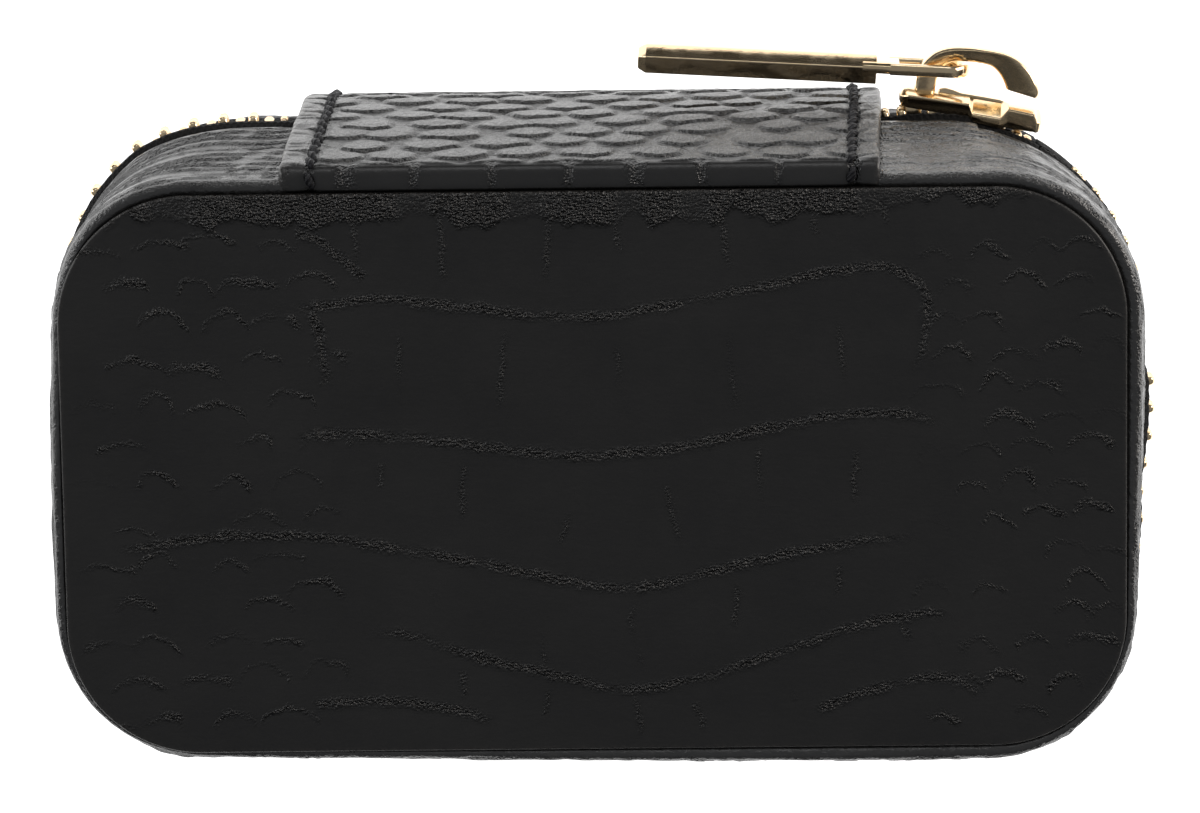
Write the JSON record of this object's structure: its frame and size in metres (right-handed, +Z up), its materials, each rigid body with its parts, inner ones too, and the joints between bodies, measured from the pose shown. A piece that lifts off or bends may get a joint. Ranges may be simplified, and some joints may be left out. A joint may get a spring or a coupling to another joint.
{
  "type": "jewellery case",
  "caption": "Small zip-around travel jewellery case in embossed black leather, with a hinged lid, gold metal zip and bar pull, ring rolls, compartments and a lid pocket",
  "frame": {"origin": "centre of the base panel's flat underside, on the face the case rests on", "axes": "X runs left to right along the hinge, Y from the front to the hinge at the back, Z up through the closed lid"},
  "size_m": [0.1082, 0.0685, 0.042],
  "materials": {
    "leather": "black crocodile-embossed leather, satin",
    "board": "grey-brown bookbinding board",
    "lining": "beige suede-like lining",
    "velvet": "beige velvet over foam",
    "thread": "waxed black thread",
    "tape": "black woven zip tape",
    "gold_metal": "polished pale gold plating"
  },
  "bodies": {
    "base": {"base_core": "board", "base_wall_leather": "leather", "base_panel_board": "board", "base_panel_leather": "leather", "base_floor_lining": "lining", "base_wall_lining": "lining", "ring_rolls": "velvet", "divider_long": "lining", "divider_cross": "lining", "base_spine_leather": "leather", "base_spine_stitches": "thread", "hinge_lining": "lining", "base_zip_tape": "tape", "base_zip_teeth": "gold_metal", "base_zip_stop": "gold_metal"},
    "lid": {"lid_core": "board", "lid_wall_leather": "leather", "lid_panel_board": "board", "lid_panel_leather": "leather", "lid_wall_lining": "lining", "lid_ceiling_lining": "lining", "lid_pocket": "lining", "lid_pocket_elastic": "lining", "lid_spine_leather": "leather", "lid_spine_stitches": "thread", "lid_zip_tape": "tape", "lid_zip_teeth": "gold_metal", "lid_zip_stop": "gold_metal"},
    "zip_end": {"zip_end_tape": "tape", "zip_end_teeth": "gold_metal", "zip_top_stops": "gold_metal"},
    "zip_slider": {"slider_body": "gold_metal", "slider_bail": "gold_metal", "slider_lock": "gold_metal"},
    "zip_pull": {"pull_tab": "gold_metal"}
  },
  "joints": [
    {"name": "lid_hinge", "type": "hinge", "parent": "base", "child": "lid", "pos_m": [0, 0.03062, 0.0194], "axis": [-1, 0, 0], "range_deg": [0, 90], "deforming": ["hinge_lining"]},
    {"name": "zip_end_lean", "type": "hinge", "parent": "base", "child": "zip_end", "pos_m": [0, 0.03062, 0.0194], "axis": [-1, 0, 0], "range_deg": [0, 45]},
    {"name": "slider_run", "type": "hinge", "parent": "zip_end", "child": "zip_slider", "pos_m": [0.0332, 0.0098, 0.0194], "axis": [0, 0, -1], "range_deg": [0, 58]},
    {"name": "pull_swing", "type": "hinge", "parent": "zip_slider", "child": "zip_pull", "pos_m": [0.0362, 0.0342, 0.0194], "axis": [0, 0, -1], "range_deg": [0, 110]}
  ],
  "couplings": [
    {"joint": "zip_end_lean", "follows": "lid_hinge", "ratio": 0.5}
  ]
}
